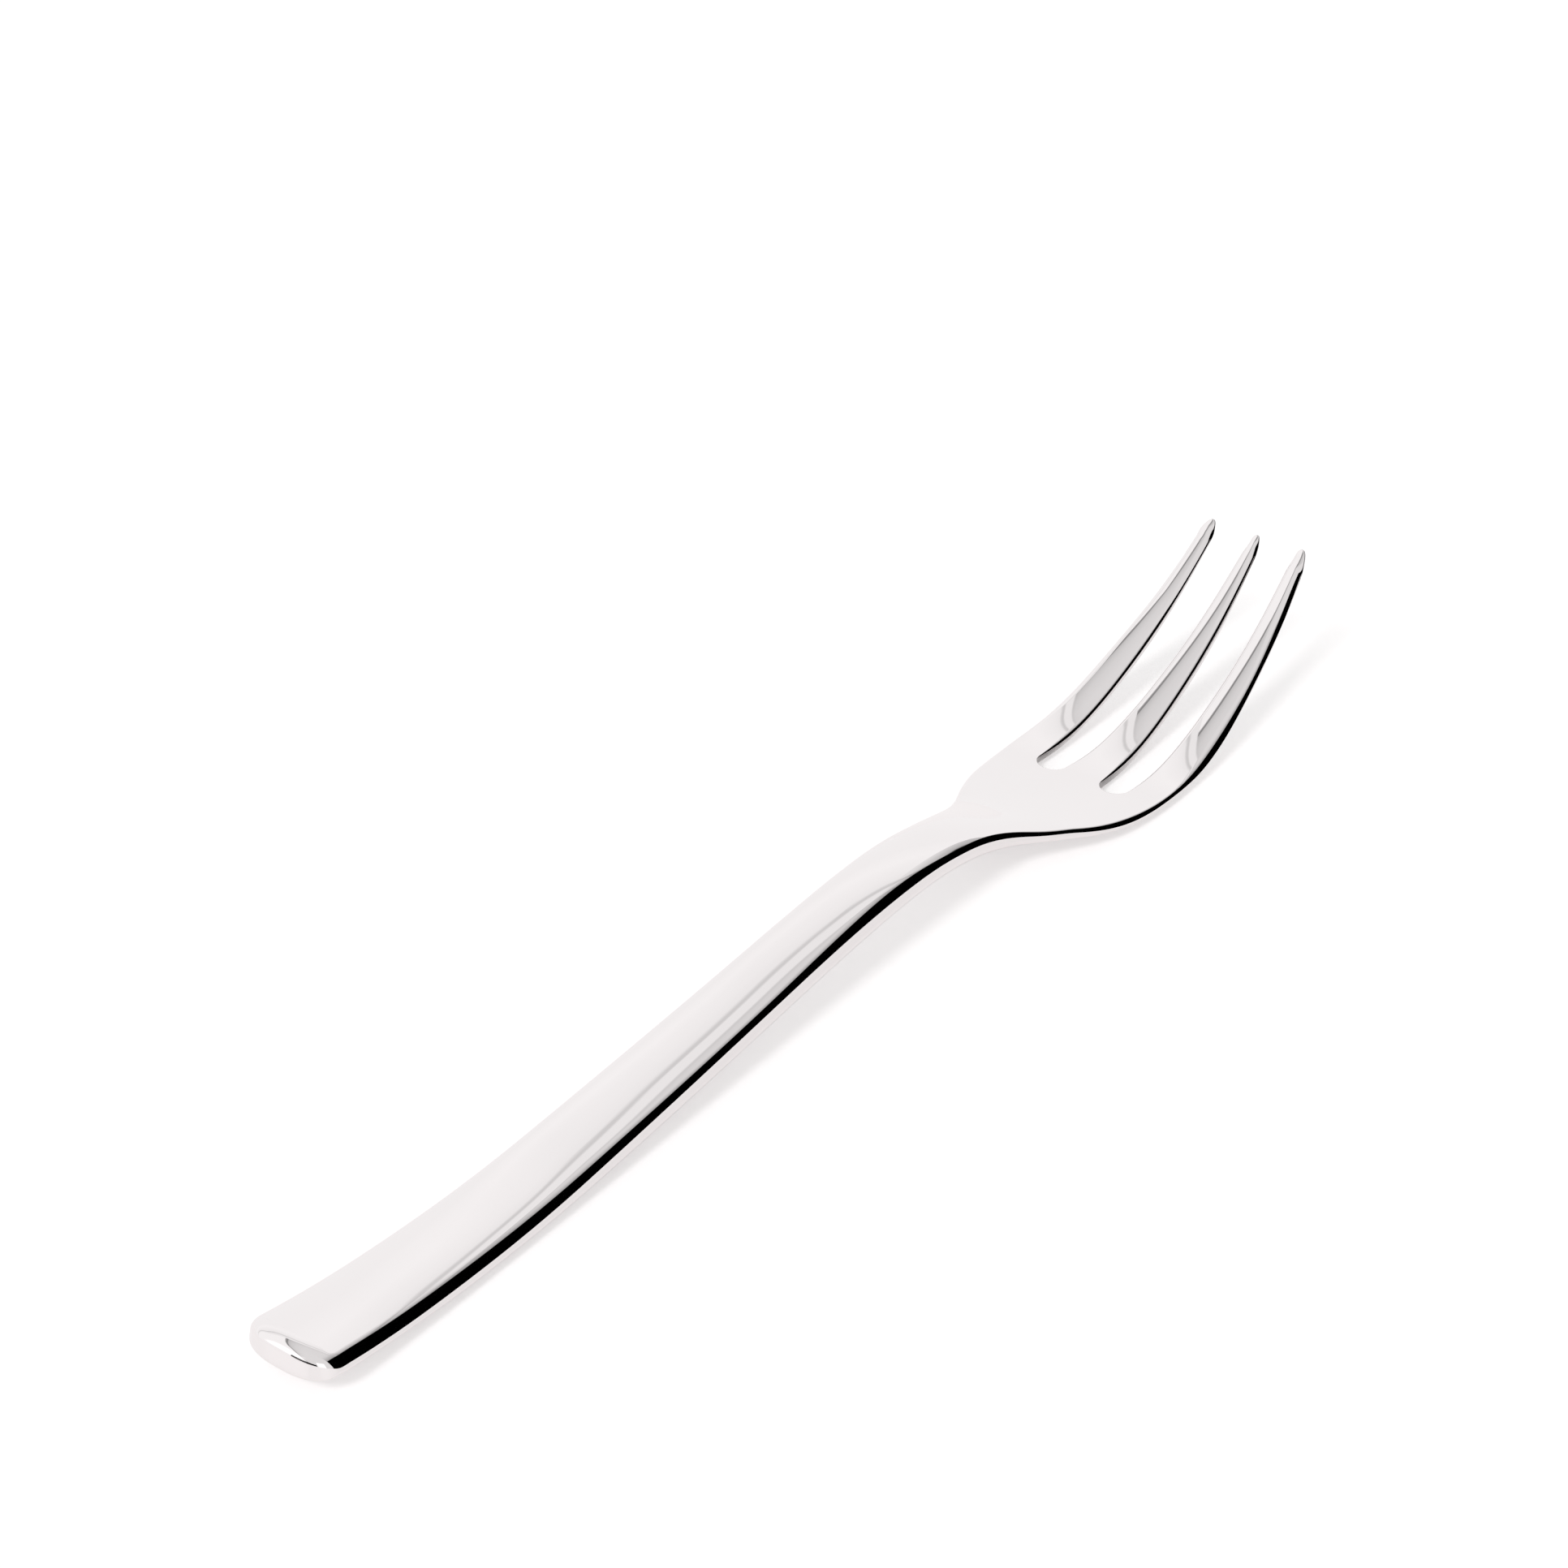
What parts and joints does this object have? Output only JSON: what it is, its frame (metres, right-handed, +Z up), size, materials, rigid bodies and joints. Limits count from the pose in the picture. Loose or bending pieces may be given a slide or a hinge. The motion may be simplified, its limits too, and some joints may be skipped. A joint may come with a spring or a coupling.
{
  "type": "fish fork",
  "caption": "Slim one-piece fish fork in polished steel: tapered round-edged handle with upturned butt, arched neck, flared head and long upswept tines.",
  "frame": {"origin": "on the table, under the middle of the fork's box as it lies on its back with the tines curving up", "axes": "+X along the fork from the butt to the points, +Y across it, +Z up from the table"},
  "size_m": [0.18, 0.0228, 0.0186],
  "materials": {
    "polished_steel": "mirror-polished stainless steel, bare metal with no plating"
  },
  "bodies": {
    "root": {"handle": "polished_steel", "neck": "polished_steel", "head_base": "polished_steel", "tine_left": "polished_steel", "tine_middle": "polished_steel", "tine_right": "polished_steel"}
  },
  "joints": []
}
